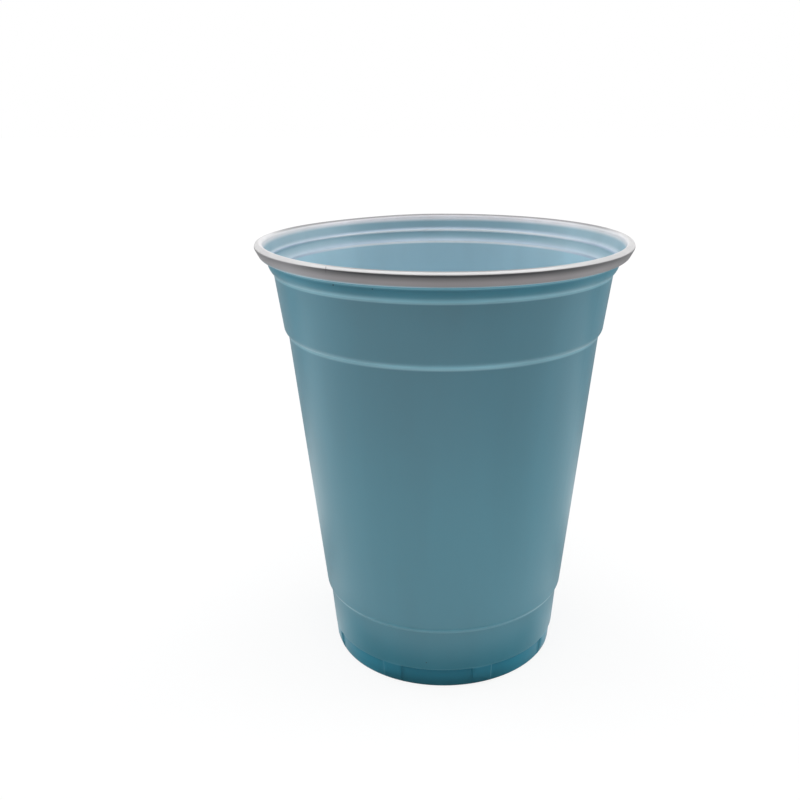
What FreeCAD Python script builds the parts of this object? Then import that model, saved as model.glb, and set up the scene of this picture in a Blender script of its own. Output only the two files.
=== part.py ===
import FreeCAD, Part
import math
import os

# A plastic party cup, formed as one piece from one thin sheet.
# Millimetres, +Z up, origin at the centre of the ring that the cup stands on, -Y to the front.
# The outer surface of the sheet is drawn as a line of radius and height. The sheet's
# thickness is added on the inner side, and the section is turned about the Z axis.
# At the rim the sheet rolls outwards, so its inner surface is what shows on the bead.

# Overall sizes
RIM_DIAMETER = 98.0
HEIGHT = 115.9
FOOT_DIAMETER = 62.7
SHEET = 0.4

# Standing ring and the floor that is raised inside it
FOOT_CORNER = 0.8
RING_WIDTH = 4.0
RING_CORNER = 0.8
FLOOR_RISE = 3.2
FLOOR_SLOPE_WIDTH = 0.8
FLOOR_CORNER = 0.9

# Heights of the lower ends of the stretches of wall that stand out over the one below
LEDGE_Z = 18.0
STEP_BELOW_TOP = 23.8
SHOULDER_BELOW_TOP = 7.9
NECK_BELOW_TOP = 4.65

# How much each stretch widens between its foot and its top. The wall from ledge to step has the rest.
LOWER_SPREAD = 1.55
UPPER_SPREAD = 2.05
NECK_SPREAD = 0.05
RIM_OVERHANG = 3.25

# How far each stretch stands out, and the rounding of its lower edge
OVERHANG_SLOPE = 40.0
LEDGE_DEPTH = 0.8
LEDGE_ROUND = 2.0
STEP_DEPTH = 0.92
STEP_ROUND = 2.0
SHOULDER_DEPTH = 1.45
SHOULDER_ROUND = 4.0
NECK_DEPTH = 0.55
NECK_ROUND = 1.5

# Rolled bead: a round top, then a wider roll that turns the sheet's edge in under it.
# The edge's turn is in degrees, down and inwards from the bead's outer side.
BEAD_TOP_RADIUS = 1.05
BEAD_ROLL_RADIUS = 1.2
BEAD_HEIGHT = 3.82
BEAD_ROLL_INSET = 1.0
BEAD_EDGE_TURN = 100.0

# Shallow panels pressed into the foot, with narrow ribs left standing between them
PANELS = 8
PANEL_HEIGHT = 5.6
PANEL_DEPTH = 0.4
RIB_WIDTH = 5.1
RIB_TURN = 19.0

AXIS = FreeCAD.Vector(0, 0, 1)
CENTRE = FreeCAD.Vector(0, 0, 0)
RIM_RADIUS = RIM_DIAMETER / 2
FOOT_RADIUS = FOOT_DIAMETER / 2
RING_RADIUS = FOOT_RADIUS - RING_WIDTH
RING_MIDDLE = FOOT_RADIUS - RING_WIDTH / 2
LEDGE_RADIUS = FOOT_RADIUS + LOWER_SPREAD
NECK_RADIUS = RIM_RADIUS - RIM_OVERHANG
SHOULDER_RADIUS = NECK_RADIUS - NECK_SPREAD - SHOULDER_DEPTH
STEP_RADIUS = SHOULDER_RADIUS - UPPER_SPREAD - STEP_DEPTH
STEP_Z = HEIGHT - STEP_BELOW_TOP
SHOULDER_Z = HEIGHT - SHOULDER_BELOW_TOP
NECK_Z = HEIGHT - NECK_BELOW_TOP


def point(radius, height):
    return FreeCAD.Vector(radius, 0, height)


def edge(start, end):
    return Part.LineSegment(start, end).toShape()


def arc(start, middle, end):
    return Part.Arc(start, middle, end).toShape()


def on_circle(centre, radius, degrees):
    turn = math.radians(degrees)
    return centre + point(radius * math.cos(turn), radius * math.sin(turn))


def fillet(before, corner, after, radius):
    """Start, middle and end of the arc that rounds a corner between two straight lines."""
    back = (before - corner).normalize()
    ahead = (after - corner).normalize()
    half = back.getAngle(ahead) / 2
    reach = radius / math.tan(half)
    bisector = (back + ahead).normalize()
    centre = corner + bisector * (radius / math.sin(half))
    return corner + back * reach, centre - bisector * radius, corner + ahead * reach


def rounded_edges(corners):
    """Straight lines through the corners, each given as radius, height and rounding."""
    points = [point(radius, height) for radius, height, rounding in corners]
    edges = []
    start = points[0]
    for before, corner, after, values in zip(points, points[1:], points[2:], corners[1:]):
        rounding = values[2]
        if rounding > 0:
            entry, middle, leave = fillet(before, corner, after, rounding)
            edges.append(edge(start, entry))
            edges.append(arc(entry, middle, leave))
            start = leave
        else:
            edges.append(edge(start, corner))
            start = corner
    edges.append(edge(start, points[-1]))
    return edges


def overhang(radius, height, depth, rounding):
    """A wall's lower end: a sharp inner corner, then a slope rounded into the wall above."""
    rise = depth * math.tan(math.radians(OVERHANG_SLOPE))
    return [(radius, height, 0), (radius + depth, height + rise, rounding)]


def lower_wall_radius(height):
    return FOOT_RADIUS + (LEDGE_RADIUS - FOOT_RADIUS) * height / LEDGE_Z


def arc_about(centre, radius, start_degrees, end_degrees):
    turns = (start_degrees, (start_degrees + end_degrees) / 2, end_degrees)
    return arc(*[on_circle(centre, radius, turn) for turn in turns])


def bead_edges():
    """The sheet's hidden side round the bead, from the top of the neck to the sheet's edge."""
    top_radius = BEAD_TOP_RADIUS - SHEET
    roll_radius = BEAD_ROLL_RADIUS - SHEET
    top = point(RIM_RADIUS - BEAD_TOP_RADIUS, HEIGHT - BEAD_TOP_RADIUS)
    roll = point(top.x - BEAD_ROLL_INSET, HEIGHT - BEAD_HEIGHT + BEAD_ROLL_RADIUS)
    # The outer face is the straight line that touches both round parts.
    down = roll - top
    lean = math.degrees(math.atan2(-down.z, -down.x)) - 90
    taper = math.degrees(math.asin((top_radius - roll_radius) / down.Length))
    face = lean - taper
    over = arc_about(top, top_radius, 180, face)
    between = edge(on_circle(top, top_radius, face), on_circle(roll, roll_radius, face))
    under = arc_about(roll, roll_radius, face, -BEAD_EDGE_TURN)
    return [over, between, under]


# The section of the sheet, from the middle of the floor to the rolled edge of the rim
NECK_TOP_RADIUS = RIM_RADIUS - 2 * BEAD_TOP_RADIUS + SHEET
corners = [(0, FLOOR_RISE, 0)]
corners.append((RING_RADIUS - FLOOR_SLOPE_WIDTH, FLOOR_RISE, FLOOR_CORNER))
corners.append((RING_RADIUS, 0, RING_CORNER))
corners.append((FOOT_RADIUS, 0, FOOT_CORNER))
corners += overhang(LEDGE_RADIUS, LEDGE_Z, LEDGE_DEPTH, LEDGE_ROUND)
corners += overhang(STEP_RADIUS, STEP_Z, STEP_DEPTH, STEP_ROUND)
corners += overhang(SHOULDER_RADIUS, SHOULDER_Z, SHOULDER_DEPTH, SHOULDER_ROUND)
corners += overhang(NECK_RADIUS, NECK_Z, NECK_DEPTH, NECK_ROUND)
corners.append((NECK_TOP_RADIUS, HEIGHT - BEAD_TOP_RADIUS, 0))

line = Part.Wire(rounded_edges(corners) + bead_edges())
section = line.makeOffset2D(SHEET, join=0, fill=True, openResult=True)
cup = section.revolve(CENTRE, AXIS, 360)


def foot_block(inset, skin, top):
    """The foot's outer half as a full ring, set in by a depth and by a skin of the sheet."""
    slope = (LEDGE_RADIUS - FOOT_RADIUS) / LEDGE_Z
    sideways = inset + skin * math.hypot(1, slope)
    outline = [(RING_MIDDLE, skin, 0)]
    outline.append((lower_wall_radius(skin) - sideways, skin, FOOT_CORNER - skin))
    outline.append((lower_wall_radius(top) - sideways, top, 0))
    outline.append((RING_MIDDLE, top, 0))
    outline.append((RING_MIDDLE, skin, 0))
    face = Part.Face(Part.Wire(rounded_edges(outline)))
    return face.revolve(CENTRE, AXIS, 360)


def sectors(block, widening):
    """The parts of a ring at the panels, widened at both sides into the ribs."""
    pitch = 360 / PANELS
    rib = math.degrees((RIB_WIDTH - 2 * widening) / FOOT_RADIUS)
    reach = 2 * FOOT_RADIUS
    pieces = []
    for number in range(PANELS):
        start = RIB_TURN - 90 + number * pitch + rib / 2
        wedge = Part.makeCylinder(reach, HEIGHT, CENTRE - AXIS * SHEET, AXIS, pitch - rib)
        wedge.rotate(CENTRE, AXIS, start)
        pieces.append(block.common(wedge))
    return pieces


# Each panel's sheet lies behind its recess, and closes round it at the top and at both sides
panel_top = PANEL_HEIGHT + SHEET
backing = foot_block(0, 0, panel_top).cut(foot_block(PANEL_DEPTH, SHEET, panel_top))
recess = foot_block(0, 0, PANEL_HEIGHT).cut(foot_block(PANEL_DEPTH, 0, PANEL_HEIGHT))
cup = cup.multiFuse(sectors(backing, SHEET))
for piece in sectors(recess, 0):
    cup = cup.cut(piece)
cup = cup.removeSplitter()

os.makedirs("parts", exist_ok=True)
cup.exportStep("parts/cup.step")
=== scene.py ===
import math
from types import SimpleNamespace

import bmesh
import bpy
from mathutils import Matrix, Vector


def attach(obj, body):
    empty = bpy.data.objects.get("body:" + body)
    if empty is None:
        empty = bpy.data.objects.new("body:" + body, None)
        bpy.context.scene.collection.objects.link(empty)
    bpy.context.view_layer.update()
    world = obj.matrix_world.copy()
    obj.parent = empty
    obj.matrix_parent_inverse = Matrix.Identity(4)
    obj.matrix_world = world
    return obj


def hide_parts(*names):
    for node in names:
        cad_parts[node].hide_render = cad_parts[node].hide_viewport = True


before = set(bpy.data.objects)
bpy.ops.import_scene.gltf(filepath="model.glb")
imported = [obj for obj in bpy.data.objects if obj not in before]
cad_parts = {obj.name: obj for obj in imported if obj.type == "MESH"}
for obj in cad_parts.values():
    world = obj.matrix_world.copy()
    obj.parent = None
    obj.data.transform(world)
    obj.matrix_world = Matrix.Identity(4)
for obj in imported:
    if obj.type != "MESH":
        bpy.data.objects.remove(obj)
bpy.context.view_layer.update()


# The cup.
# One thin sheet of two-sided plastic, blue outside and paler inside, drawn by vacuum and plug into a
# mould that gives it the ledges, the foot with its panels and the raised floor. The rim is rolled
# outwards afterwards, hot, so the sheet's inner side is what shows on the bead.
MM = 0.001
SHEET = 0.4
FLOOR_RADIUS = 26.55
FLOOR_Z = 3.2
FLOOR_ROUNDING = 0.9
RING_INNER_RADIUS = 27.35
RING_ROUNDING = 0.8
FOOT_RADIUS = 31.35
LEDGE_Z = 18.0
LEDGE_RADIUS = 32.9

# Each overhang: radius and height of the wall's lower end, how far it stands out, and its rounding.
FOOT_LEDGE = (LEDGE_RADIUS, LEDGE_Z, 0.8, 2.0)
GRIP_STEP = (41.28, 92.1, 0.92, 2.0)
STACKING_LEDGE = (44.25, 108.0, 1.45, 4.0)
NECK_LEDGE = (45.75, 111.25, 0.55, 1.5)
OVERHANG_RISE = math.tan(math.radians(40))
INNER_CORNER = 0.12

BEAD_TOP = (47.95, 114.85)
BEAD_TOP_RADIUS = 1.05
BEAD_ROLL = (46.95, 113.28)
BEAD_ROLL_RADIUS = 1.2
BEAD_EDGE_TURN = 100

PANELS = 8
PANEL_DEPTH = 0.4
PANEL_HEIGHT = 5.6
PANEL_EDGE = 0.34
RIB_WIDTH = 5.1
RIB_TURN = 19.0

RIM_SAG = 0.3
LEFT_SAG = 0.45
RIM_SHIFT = 0.25


def lower_wall(height):
    """The outer radius of the wall between the ring it stands on and the ledge above it."""
    return FOOT_RADIUS + (LEDGE_RADIUS - FOOT_RADIUS) * height / LEDGE_Z


def overhang(radius, height, depth, rounding):
    """Two corners: the nearly sharp one at a wall's lower end, and the rounded one above it."""
    return [
        (radius, height, INNER_CORNER),
        (radius + depth, height + depth * OVERHANG_RISE, rounding),
    ]


def round_corner(section, corner, rounding):
    """Rounds a corner of the wire with an arc of that radius."""
    before, after = [edge.other_vert(corner).co - corner.co for edge in corner.link_edges]
    turn = math.pi - before.angle(after)
    steps = max(3, round(math.degrees(turn) / 5)) if rounding > 0.5 else 3
    bmesh.ops.bevel(
        section,
        geom=[corner],
        offset=rounding * MM * math.tan(turn / 2),
        offset_type="OFFSET",
        segments=steps,
        profile=0.5,
        affect="VERTICES",
        material=-1,
    )


def split_runs(section, close=0.3, longest=5.0):
    """Adds points beside the rounded corners, and halves the straight runs until they are short."""
    for edge in list(section.edges):
        length = edge.calc_length() / MM
        if length < 4 * close:
            continue
        first, last = edge.verts
        near = bmesh.utils.edge_split(edge, first, close / length)[1]
        middle = next(item for item in near.link_edges if last in item.verts)
        bmesh.utils.edge_split(middle, last, close / (length - close))
    runs = [edge for edge in section.edges if edge.calc_length() > longest * MM]
    while runs:
        bmesh.ops.subdivide_edges(section, edges=runs, cuts=1)
        runs = [edge for edge in section.edges if edge.calc_length() > longest * MM]


def roll(section, end, centre, degrees, steps):
    """Carries the wire's end round a centre in the section's plane."""
    turned = bmesh.ops.spin(
        section,
        geom=[end],
        cent=(centre[0] * MM, 0, centre[1] * MM),
        axis=(0, 1, 0),
        dvec=(0, 0, 0),
        angle=math.radians(degrees),
        steps=steps,
        use_merge=False,
    )
    return next(item for item in turned["geom_last"] if isinstance(item, bmesh.types.BMVert))


def smooth_share(value, start, end):
    """0 at start, 1 at end, and a smooth rise between them."""
    share = min(1, max(0, (value - start) / (end - start)))
    return share * share * (3 - 2 * share)


# The wire is the section of the sheet's outer side, from the middle of the floor up to the bead. The
# corners are radius, height and rounding, with close rows where the panels are pressed in later.
cup_mesh = bmesh.new()
panel_top = PANEL_HEIGHT - PANEL_EDGE / 2
panel_rows = [1.2, 1.8, 2.4]
panel_rows += [panel_top + PANEL_EDGE * share for share in (-0.9, 0, 0.25, 0.5, 0.75, 1, 1.9)]
corners = [(0, FLOOR_Z, 0), (FLOOR_RADIUS, FLOOR_Z, FLOOR_ROUNDING)]
corners += [(RING_INNER_RADIUS, 0, RING_ROUNDING), (FOOT_RADIUS, 0, RING_ROUNDING)]
corners += [(lower_wall(height), height, 0) for height in panel_rows]
for ledge in (FOOT_LEDGE, GRIP_STEP, STACKING_LEDGE, NECK_LEDGE):
    corners += overhang(*ledge)
corners += [(BEAD_TOP[0] - BEAD_TOP_RADIUS + SHEET, BEAD_TOP[1], 0)]

wire = [cup_mesh.verts.new((radius * MM, 0, height * MM)) for radius, height, rounding in corners]
for start, end in zip(wire, wire[1:]):
    cup_mesh.edges.new((start, end))
for corner, (radius, height, rounding) in zip(wire, corners):
    if rounding:
        round_corner(cup_mesh, corner, rounding)
split_runs(cup_mesh)
rim_end = max(cup_mesh.verts, key=lambda vert: vert.co.z)

# The outer face of the bead is the straight line that touches its two round parts.
down = Vector(BEAD_ROLL) - Vector(BEAD_TOP)
lean = math.degrees(math.atan2(-down.x, -down.y))
taper = math.degrees(math.asin((BEAD_TOP_RADIUS - BEAD_ROLL_RADIUS) / down.length))
face_turn = lean + taper
rim_end = roll(cup_mesh, rim_end, BEAD_TOP, 180 + face_turn, 28)
face_end = cup_mesh.verts.new(
    (
        (BEAD_ROLL[0] + (BEAD_ROLL_RADIUS - SHEET) * math.cos(math.radians(face_turn))) * MM,
        0,
        (BEAD_ROLL[1] - (BEAD_ROLL_RADIUS - SHEET) * math.sin(math.radians(face_turn))) * MM,
    )
)
cup_mesh.edges.new((rim_end, face_end))
roll(cup_mesh, face_end, BEAD_ROLL, BEAD_EDGE_TURN - face_turn, 12)

# The section is turned about the axis, with close steps at the flanks of the ribs.
rib_turn = math.degrees(RIB_WIDTH / lower_wall(PANEL_HEIGHT / 2))
flank_turn = math.degrees(PANEL_EDGE / lower_wall(PANEL_HEIGHT / 2))
panel_turn = 360 / PANELS - rib_turn - 2 * flank_turn
stretches = [(rib_turn, 5), (flank_turn, 4), (panel_turn, 16), (flank_turn, 4)]
bmesh.ops.rotate(
    cup_mesh,
    verts=cup_mesh.verts,
    cent=(0, 0, 0),
    matrix=Matrix.Rotation(math.radians(-90 + RIB_TURN - rib_turn / 2), 3, "Z"),
)
strip = list(cup_mesh.verts) + list(cup_mesh.edges)
for degrees, steps in stretches * PANELS:
    turned = bmesh.ops.spin(
        cup_mesh,
        geom=strip,
        cent=(0, 0, 0),
        axis=(0, 0, 1),
        dvec=(0, 0, 0),
        angle=math.radians(degrees),
        steps=steps,
        use_merge=False,
    )
    strip = turned["geom_last"]
bmesh.ops.remove_doubles(cup_mesh, verts=cup_mesh.verts, dist=0.004 * MM)
bmesh.ops.recalc_face_normals(cup_mesh, faces=cup_mesh.faces)

# The panels are pressed into the foot between the ribs, and fade out at the round edge it stands on.
for vert in cup_mesh.verts:
    radius = math.hypot(vert.co.x, vert.co.y) / MM
    height = vert.co.z / MM
    if radius < FOOT_RADIUS - 2 or height > PANEL_HEIGHT + PANEL_EDGE:
        continue
    turn = math.degrees(math.atan2(vert.co.y, vert.co.x)) + 90 - RIB_TURN
    from_rib = abs((turn + 180 / PANELS) % (360 / PANELS) - 180 / PANELS)
    across = smooth_share(from_rib, rib_turn / 2, rib_turn / 2 + flank_turn)
    upwards = 1 - smooth_share(height, panel_top, panel_top + PANEL_EDGE)
    worn = 1 - smooth_share(height, 0.1, 2.4)
    vert.co.xy *= 1 - PANEL_DEPTH * max(across * upwards, worn) / radius

# The sheet gets its thickness inwards. Its inner side takes the second material.
shell = bmesh.ops.solidify(cup_mesh, geom=list(cup_mesh.faces), thickness=-SHEET * MM)
for face in shell["geom"]:
    if isinstance(face, bmesh.types.BMFace):
        face.material_index = 1
for face in cup_mesh.faces:
    face.smooth = True

# The thin rim has lost its true round: it hangs a little at the front and at the back left, and
# leans to the right. Each point keeps its height from before, for the colours.
level = cup_mesh.verts.layers.float.new("level")
for vert in cup_mesh.verts:
    vert[level] = vert.co.z
    loose = smooth_share(vert.co.z / MM, 110, 113)
    x, y = vert.co.x / MM, vert.co.y / MM
    vert.co.z -= loose * RIM_SAG * smooth_share(-y, 10, 46) * MM
    vert.co.z -= loose * LEFT_SAG * smooth_share(-x, 4, 36) * smooth_share(y, -20, 15) * MM
    vert.co.x += loose * RIM_SHIFT * MM

cup_data = bpy.data.meshes.new("cup_shell")
cup_mesh.to_mesh(cup_data)
cup_mesh.free()
cup = bpy.data.objects.new("cup_shell", cup_data)
bpy.context.collection.objects.link(cup)


class Wire:
    """A shader value. Sums, products and the like of such values add Math nodes."""

    def __init__(self, owner, socket=None):
        self.owner = owner
        self.socket = socket

    def node(self, kind, settings=None, inputs=None):
        """A node of that type, as its first output: first its settings, then its sockets."""
        made = self.owner.node_tree.nodes.new(kind)
        for name, value in (settings or {}).items():
            setattr(made, name, value)
        for name, value in (inputs or {}).items():
            if isinstance(value, Wire):
                self.owner.node_tree.links.new(value.socket, made.inputs[name])
            else:
                made.inputs[name].default_value = value
        return Wire(self.owner, made.outputs[0] if made.outputs else None)

    def output(self, name):
        """Another output of the same node."""
        return Wire(self.owner, self.socket.node.outputs[name])

    def maths(self, operation, *others):
        return self.node("ShaderNodeMath", {"operation": operation}, dict(enumerate((self, *others))))

    def __add__(self, other):
        return self.maths("ADD", other)

    __radd__ = __add__

    def __mul__(self, other):
        return self.maths("MULTIPLY", other)

    __rmul__ = __mul__

    def __sub__(self, other):
        return self.maths("SUBTRACT", other)

    def __rsub__(self, other):
        return self.node("ShaderNodeMath", {"operation": "SUBTRACT"}, {0: other, 1: self})

    def between(self, start, end):
        """0 at start, 1 at end, and a smooth rise between them."""
        inputs = {"Value": self, "From Min": start, "From Max": end}
        return self.node("ShaderNodeMapRange", {"interpolation_type": "SMOOTHSTEP"}, inputs)

    def band(self, start, full, still_full, end):
        """1 between the two middle values, fading to 0 at the outer two."""
        return self.between(start, full) * self.between(end, still_full)

    def distance(self, centre):
        """How far this place is from a fixed point."""
        made = self.node("ShaderNodeVectorMath", {"operation": "DISTANCE"}, {0: self, 1: centre})
        return made.output("Value")

    def blend(self, first, second):
        """The first colour where this value is 0, and the second where it is 1."""
        made = self.node("ShaderNodeMix", {"data_type": "RGBA"}).socket.node
        sockets = {socket.identifier: socket for socket in made.inputs}
        for name, value in (("Factor_Float", self), ("A_Color", first), ("B_Color", second)):
            if isinstance(value, Wire):
                self.owner.node_tree.links.new(value.socket, sockets[name])
            else:
                sockets[name].default_value = value
        result = next(socket for socket in made.outputs if socket.identifier == "Result_Color")
        return Wire(self.owner, result)


def new_material(name):
    material = bpy.data.materials.new(name)
    material.use_nodes = True
    material.node_tree.nodes.clear()
    return material, Wire(material)


DARKER = (0, 0, 0, 1)


def plastic(name, colour_of, roughness, matt_of=None):
    """The sheet's plastic, with faint clouds and a fine grain. matt_of marks its duller places."""
    material, root = new_material(name)
    place = root.node("ShaderNodeTexCoord").output("Object")
    in_mm = root.node("ShaderNodeVectorMath", {"operation": "SCALE"}, {0: place, "Scale": 1 / MM})
    split = root.node("ShaderNodeSeparateXYZ", None, {"Vector": in_mm})
    x, y, z = [split.output(axis) for axis in "XYZ"]
    height = root.node("ShaderNodeAttribute", {"attribute_name": "level"}).output("Fac") * (1 / MM)
    radius = (x * x + y * y).maths("SQRT")
    at = SimpleNamespace(point=in_mm, x=x, y=y, z=z, height=height, radius=radius)

    drawn = root.node("ShaderNodeVectorMath", {"operation": "MULTIPLY"}, {0: place, 1: (1, 1, 0.15)})
    streaks = {"Vector": drawn, "Scale": 90.0, "Detail": 2.0, "Roughness": 0.4}
    cloud = root.node("ShaderNodeTexNoise", None, streaks).output("Fac")
    pores = {"Vector": place, "Scale": 900.0, "Detail": 2.0, "Roughness": 0.5}
    grain = root.node("ShaderNodeTexNoise", None, pores).output("Fac")
    relief = {"Strength": 0.03, "Distance": 0.0002, "Height": grain}
    finish = {
        "Base Color": (cloud.between(0.65, 0.35) * 0.07).blend(colour_of(at), DARKER),
        "Roughness": roughness + (cloud - 0.5) * 0.08,
        "Normal": root.node("ShaderNodeBump", None, relief),
        "IOR": 1.6,
        "Specular IOR Level": 0.65,
    }
    surface = root.node("ShaderNodeBsdfPrincipled", None, finish)
    if matt_of:
        matt = root.node("ShaderNodeBsdfPrincipled", None, {**finish, "Specular IOR Level": 0.15})
        surface = root.node("ShaderNodeMixShader", None, {"Fac": matt_of(at), 1: surface, 2: matt})
    root.node("ShaderNodeOutputMaterial", None, {"Surface": surface})
    return material


# The sheet's outer side. All the places below are in millimetres: those with two values say where a
# mask is 0 and where it is 1, and those with four where a band starts, is full, is still full and ends.
UPPER_BLUE = (0.027, 0.165, 0.228, 1)
# Painted light: the upper wall is a lighter blue towards its left and right sides.
SIDE_LIT_BLUE = (0.036, 0.210, 0.290, 1)
# Painted light: the wall is a paler blue low down, where the floor's light reaches it.
LOWER_LIT_BLUE = (0.033, 0.200, 0.270, 1)
# Painted shade: the panels of the foot are a darker blue.
PANEL_SHADE_BLUE = (0.024, 0.180, 0.256, 1)
# Painted light: the panels are a lighter blue towards the sides.
PANEL_SIDE_LIT_BLUE = (0.028, 0.230, 0.325, 1)
# Painted shade: darker towards the foot's bottom edge, less so at the sides.
FOOT_SHADE_BLUE = (0.018, 0.125, 0.170, 1)
# Painted highlights and painted light: the paler blue of the lines under the ledges, of the ribs' flanks
# and of the low wall at the sides.
HIGHLIGHT_BLUE = (0.20, 0.44, 0.53, 1)
SPECK = (0.006, 0.02, 0.03, 1)

LOWER_LIGHT_HEIGHTS = (90, 45)
FOOT_SIDE_LIGHT_HEIGHTS = (18, 8)
PANEL_HEIGHTS = (6.0, 5.5)
FOOT_SHADE_HEIGHTS = (4.5, 0.4)
UPPER_LIT_SIDES = (22, 42)
FOOT_SIDES = (12, 21)

# Painted highlights under the overhangs: over the panels' top, the foot's ledge, the stacking ledge and
# the neck, with strengths.
HIGHLIGHT_LINES = [
    ((6.2, 5.8, 5.7, 5.4), 0.2),
    ((19.4, 18.8, 17.9, 17.5), 0.6),
    ((109.3, 108.0, 107.7, 107.3), 0.72),
    ((110.7, 111.5, 114.0, 114.1), 0.52),
]
# Painted highlight under the grip step, weaker at the sides.
STEP_HIGHLIGHT = (93.4, 92.0, 91.8, 91.2)
# Painted highlights on the ribs' flanks, away from the middle: their angle, sides and heights.
RIB_FLANK = math.radians(rib_turn / 2 + flank_turn)
FLANK_HIGHLIGHT = (RIB_FLANK - 0.014, RIB_FLANK - 0.006, RIB_FLANK, RIB_FLANK + 0.008)
FLANK_SIDES = (11.8, 12.5)
FLANK_HEIGHTS = (6.0, 5.2, 2, 1)

# Where the outside is duller: the neck, and the wall low down at the sides.
DULL_NECK = (107.6, 110.2, 112.0, 113.0)
DULL_WALL = (5.5, 6.0, 16, 26)
DULL_SIDES = (18, 28)

# Specks of dirt, each with its place and size.
SPECKS = [
    ((-4.6, -31.7, 8.0), 0.22),
    ((-24.7, -38.4, 110.8), 0.25),
    ((-15.6, -42.9, 110.8), 0.2),
]


def outside_colour(at):
    """The blue, painted lighter at the sides and low down and darker on the panels and at the foot's
    edge, with painted highlights along the ledges and on the ribs' flanks.
    """
    from_middle = at.x.maths("ABSOLUTE")
    at_side = from_middle.between(*FOOT_SIDES)
    upper = from_middle.between(*UPPER_LIT_SIDES).blend(UPPER_BLUE, SIDE_LIT_BLUE)
    wall = at.height.between(*LOWER_LIGHT_HEIGHTS).blend(upper, LOWER_LIT_BLUE)
    # Painted light: the wall below the foot's ledge is a little paler at the sides.
    wall = (at_side * at.height.between(*FOOT_SIDE_LIGHT_HEIGHTS) * 0.08).blend(wall, HIGHLIGHT_BLUE)
    panel = at_side.blend(PANEL_SHADE_BLUE, PANEL_SIDE_LIT_BLUE)
    foot = at.height.between(*PANEL_HEIGHTS).blend(wall, panel)
    foot = (at.height.between(*FOOT_SHADE_HEIGHTS) * (1 - at_side * 0.7)).blend(foot, FOOT_SHADE_BLUE)

    highlight_lines = at.height.band(*STEP_HIGHLIGHT) * (0.95 - at_side * 0.25)
    for heights, strength in HIGHLIGHT_LINES:
        highlight_lines += at.height.band(*heights) * strength
    turn = at.y.maths("ARCTAN2", at.x) + math.radians(90 - RIB_TURN)
    flank_highlights = turn.maths("PINGPONG", math.pi / PANELS).band(*FLANK_HIGHLIGHT)
    flank_highlights *= from_middle.between(*FLANK_SIDES) * at.height.band(*FLANK_HEIGHTS)
    colour = (highlight_lines + flank_highlights * 0.25).blend(foot, HIGHLIGHT_BLUE)

    for centre, size in SPECKS:
        colour = at.point.distance(centre).between(size, size * 0.4).blend(colour, SPECK)
    return colour


def outside_matt(at):
    """Duller places: the neck under the bead, the panels, and the wall low down at the sides."""
    neck = at.height.band(*DULL_NECK)
    panels = at.height.between(*PANEL_HEIGHTS)
    low_sides = at.height.band(*DULL_WALL) * at.x.maths("ABSOLUTE").between(*DULL_SIDES)
    return neck * 0.75 + panels * 0.8 + low_sides * 0.4


# The sheet's inner side, which also shows on the rolled bead. The front is at -y.
INSIDE_BLUE = (0.45, 0.665, 0.765, 1)
# Painted shade: the inside is darker on its top band under the bead, and darker still at the sides.
UNDER_BEAD_SHADE = (0.295, 0.475, 0.56, 1)
UNDER_BEAD_SIDE_SHADE = (0.255, 0.405, 0.48, 1)
# Painted highlights: pale lines along both inner ledges, brightest along their lower edge and dimmer at
# the sides.
INNER_LEDGE_HIGHLIGHT = (0.44, 0.53, 0.65, 1)
INNER_LEDGE_SIDE_HIGHLIGHT = (0.38, 0.475, 0.555, 1)
INNER_LEDGE_BRIGHTEST = (0.95, 0.98, 1.00, 1)
# Painted light: the bead's inner side is brighter at the back.
RIM_BACK_LIGHT = (1.00, 0.95, 0.98, 1)
RIM_INNER = (0.74, 0.73, 0.745, 1)
RIM_WHITE = (0.56, 0.555, 0.56, 1)
# Painted highlight: the white of the bead's shoulder is brighter at the front.
RIM_FRONT_HIGHLIGHT = (0.78, 0.78, 0.78, 1)
RIM_TOP_SHADE = (0.24, 0.24, 0.25, 1)
# Painted shade on the white bead's outer face at the front: a dark line under the white shoulder,
# turning grey lower down.
BEAD_FRONT_TOP_SHADE = (0.060, 0.060, 0.064, 1)
BEAD_FRONT_LOW_SHADE = (0.215, 0.200, 0.207, 1)
# Painted shade on the white bead's outer face at the sides, lighter than at the front.
BEAD_SIDE_TOP_SHADE = (0.160, 0.160, 0.170, 1)
BEAD_SIDE_LOW_SHADE = (0.232, 0.226, 0.242, 1)

OFF_SIDES = (12, 43)
UNDER_BEAD_SHADE_HEIGHTS = (107.9, 109.0)
HIGHLIGHT_HEIGHTS = [(112.8, 111.3, 111.4, 110.6), (109.8, 107.9, 108.0, 107.5)]
HIGHLIGHT_EDGE_HEIGHTS = [(111.7, 111.3, 111.2, 110.7), (108.3, 108.0, 107.8, 107.3)]

BEAD_INNER_HEIGHTS = (113.6, 114.9)
BEAD_BACK_LIGHT_DEPTHS = (20, 40)
BEAD_FACE_RADII = (47.4, 48.0)
BEAD_FACE_HEIGHTS = (114.5, 113.0)
BEAD_FACE_RIGHT_SHADE = (0, 40)
BEAD_FACE_FRONT = (-26, -44.5)
BEAD_WHITE_HEIGHTS = (114.85, 115.1)
BEAD_HIGHLIGHT_FRONT = (-30, -45)

# Painted shade in grey lines along the bead's top at the front and back, and the hairline scratch on its
# front left.
FRONT_TOP_SHADE = ((-34, -46), (115.72, 115.88))
BACK_TOP_SHADE = ((3, 22), (115.3, 115.8))
SCRATCH_ACROSS = (-25.98, -25.88, -25.84, -25.74)
SCRATCH_HEIGHTS = (115.8, 115.6, 114.5, 114.2)
SCRATCH_FRONT = (-30, -35)


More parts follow.
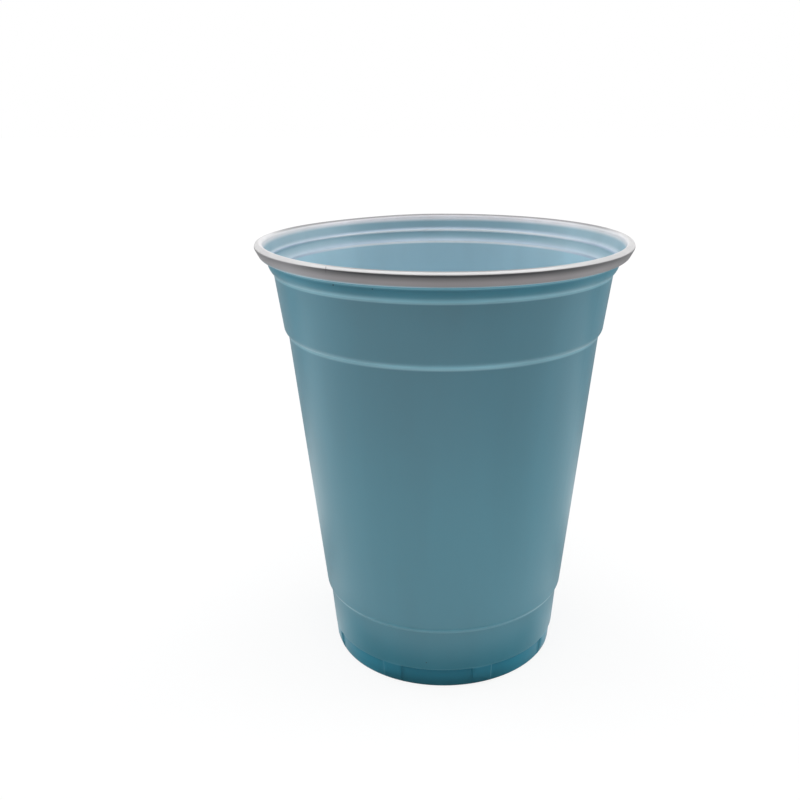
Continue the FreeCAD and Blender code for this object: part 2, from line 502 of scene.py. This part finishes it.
def inside_colour(at):
    """The paler blue, painted darker under the bead and with painted highlights on both ledges; the
    white bead, with painted light at its back and front and painted shade on its grey face and top.
    """
    off_side = at.y.maths("ABSOLUTE").between(*OFF_SIDES)
    top = off_side.blend(UNDER_BEAD_SIDE_SHADE, UNDER_BEAD_SHADE)
    wall = at.height.between(*UNDER_BEAD_SHADE_HEIGHTS).blend(INSIDE_BLUE, top)
    highlight_lines = sum(at.height.band(*heights) for heights in HIGHLIGHT_HEIGHTS)
    wall = highlight_lines.blend(wall, off_side.blend(INNER_LEDGE_SIDE_HIGHLIGHT, INNER_LEDGE_HIGHLIGHT))
    edges = sum(at.height.band(*heights) for heights in HIGHLIGHT_EDGE_HEIGHTS)
    wall = edges.blend(wall, off_side.blend(INNER_LEDGE_HIGHLIGHT, INNER_LEDGE_BRIGHTEST))
    bead_inner = at.y.between(*BEAD_BACK_LIGHT_DEPTHS).blend(RIM_INNER, RIM_BACK_LIGHT)
    inner = (at.z - at.x * 0.004).between(*BEAD_INNER_HEIGHTS).blend(wall, bead_inner)

    downwards = at.z.between(*BEAD_FACE_HEIGHTS)
    side_face = downwards.blend(BEAD_SIDE_TOP_SHADE, BEAD_SIDE_LOW_SHADE)
    # Painted shade: the bead's face is a little darker towards the right.
    side_face = (at.x.between(*BEAD_FACE_RIGHT_SHADE) * 0.12).blend(side_face, DARKER)
    at_front = (at.y - at.x * 0.12).between(*BEAD_FACE_FRONT)
    face = at_front.blend(side_face, downwards.blend(BEAD_FRONT_TOP_SHADE, BEAD_FRONT_LOW_SHADE))
    white = at.y.between(*BEAD_HIGHLIGHT_FRONT).blend(RIM_WHITE, RIM_FRONT_HIGHLIGHT)
    face = at.z.between(*BEAD_WHITE_HEIGHTS).blend(face, white)
    rim = at.radius.between(*BEAD_FACE_RADII).blend(inner, face)

    front_shade, back_shade = [
        at.y.between(*depths) * at.height.between(*heights)
        for depths, heights in (FRONT_TOP_SHADE, BACK_TOP_SHADE)
    ]
    # Painted shade along the bead's top at the front and back.
    rim = (front_shade + back_shade * 0.95).blend(rim, RIM_TOP_SHADE)
    scratch = at.x.band(*SCRATCH_ACROSS) * at.height.band(*SCRATCH_HEIGHTS)
    scratch *= at.y.between(*SCRATCH_FRONT) * 0.55
    return scratch.blend(rim, DARKER)


cup_data.materials.append(plastic("cup_outside", outside_colour, roughness=0.3, matt_of=outside_matt))
cup_data.materials.append(plastic("cup_inside", inside_colour, roughness=0.32))

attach(cup, "root")
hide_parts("cup")


# The table it stands on: a plain white sheet of paper, wide enough to reach past the view. It is seen
# white, and the cup's gloss mirrors it darker close to the foot, near the camera and far behind.
PAPER_REACH = 3.0
PAPER_WHITE = (0.88, 0.88, 0.88, 1)
WHITE = (1, 1, 1, 1)
floor_mesh = bmesh.new()
bmesh.ops.create_grid(floor_mesh, x_segments=1, y_segments=1, size=PAPER_REACH)
floor_data = bpy.data.meshes.new("floor")
floor_mesh.to_mesh(floor_data)
floor_mesh.free()
floor = bpy.data.objects.new("floor", floor_data)
bpy.context.collection.objects.link(floor)

floor_material, root = new_material("white_paper")
seen = root.node("ShaderNodeLightPath").output("Is Camera Ray")
mirrored = seen.output("Is Glossy Ray")
place = root.node("ShaderNodeTexCoord").output("Object")
split = root.node("ShaderNodeSeparateXYZ", None, {"Vector": place})
across, along = split.output("X"), split.output("Y")
from_axis = (across * across + along * along).maths("SQRT")
in_front = 0.05 + along.between(-0.41, -0.25) * 0.95
behind = (0.42 + along.between(0.150, 0.070) * 0.58) * (1 - across.between(0.02, 0.12) * 0.15)
behind *= 1 - from_axis.between(0.110, 0.065) * along.between(-0.005, 0.025) * 0.5
at_foot = from_axis.between(0.037, 0.054)
at_foot = at_foot.maths("MAXIMUM", along.between(-0.032, -0.004) * 0.85)
mirror_glow = in_front * behind * at_foot
paper = root.node("ShaderNodeBsdfDiffuse", None, {"Color": PAPER_WHITE})
strength = seen + mirrored * mirror_glow
glow = root.node("ShaderNodeEmission", None, {"Color": WHITE, "Strength": strength})
share = seen * 0.85 + mirrored * 0.95
surface = root.node("ShaderNodeMixShader", None, {"Fac": share, 1: paper, 2: glow})
root.node("ShaderNodeOutputMaterial", None, {"Surface": surface})
floor_data.materials.append(floor_material)


# The studio: a white room that is brighter behind the cup than at the camera's back, with one wide
# soft lamp overhead and one at each side. The lamps don't show in the gloss; the room does.
world = bpy.data.worlds.new("studio")
world.use_nodes = True
world.node_tree.nodes.clear()
root = Wire(world)
seen = root.node("ShaderNodeLightPath").output("Is Camera Ray")
mirrored = seen.output("Is Glossy Ray")
towards = root.node("ShaderNodeTexCoord").output("Generated")
behind_cup = root.node("ShaderNodeSeparateXYZ", None, {"Vector": towards}).output("Y").between(-0.6, 0.1)
room = 0.12 + behind_cup * 0.38
mirrored_room = 0.12 + behind_cup * 0.68
strength = room + seen * (1 - room) + mirrored * (mirrored_room - room)
sky = root.node("ShaderNodeBackground", None, {"Color": WHITE, "Strength": strength})
root.node("ShaderNodeOutputWorld", None, {"Surface": sky})
bpy.context.scene.world = world

# Each lamp: its strength, its spread in degrees, and the way to it from the cup.
LAMPS = {
    "overhead": (2.0, 50, (0.0, -0.25, 1.0)),
    "left_side": (1.75, 60, (-1.0, 0.35, 0.3)),
    "right_side": (1.75, 60, (1.0, 0.35, 0.3)),
}
for name, (energy, spread, way) in LAMPS.items():
    lamp_data = bpy.data.lights.new(name, "SUN")
    lamp_data.energy = energy
    lamp_data.angle = math.radians(spread)
    lamp = bpy.data.objects.new(name, lamp_data)
    lamp.visible_glossy = False
    lamp.rotation_euler = Vector(way).to_track_quat("Z", "Y").to_euler()
    bpy.context.collection.objects.link(lamp)


# The camera stands where the photograph was taken from, a little above the cup and near it.
PICTURE_PIXELS = 800
FOCAL_PIXELS = 930.0
AXIS_PIXEL = 443.65
CAMERA_PITCH = 18.38
CAMERA_PLACE = (0, -0.2440, 0.1520)
camera_data = bpy.data.cameras.new("camera")
camera_data.sensor_width = 36.0
camera_data.lens = FOCAL_PIXELS * camera_data.sensor_width / PICTURE_PIXELS
camera_data.shift_x = (PICTURE_PIXELS / 2 - AXIS_PIXEL) / PICTURE_PIXELS
camera_data.clip_start = 0.01
camera = bpy.data.objects.new("camera", camera_data)
camera.location = CAMERA_PLACE
camera.rotation_euler = (math.radians(90 - CAMERA_PITCH), 0, 0)
bpy.context.collection.objects.link(camera)
bpy.context.scene.camera = camera
bpy.context.scene.view_settings.view_transform = "Standard"
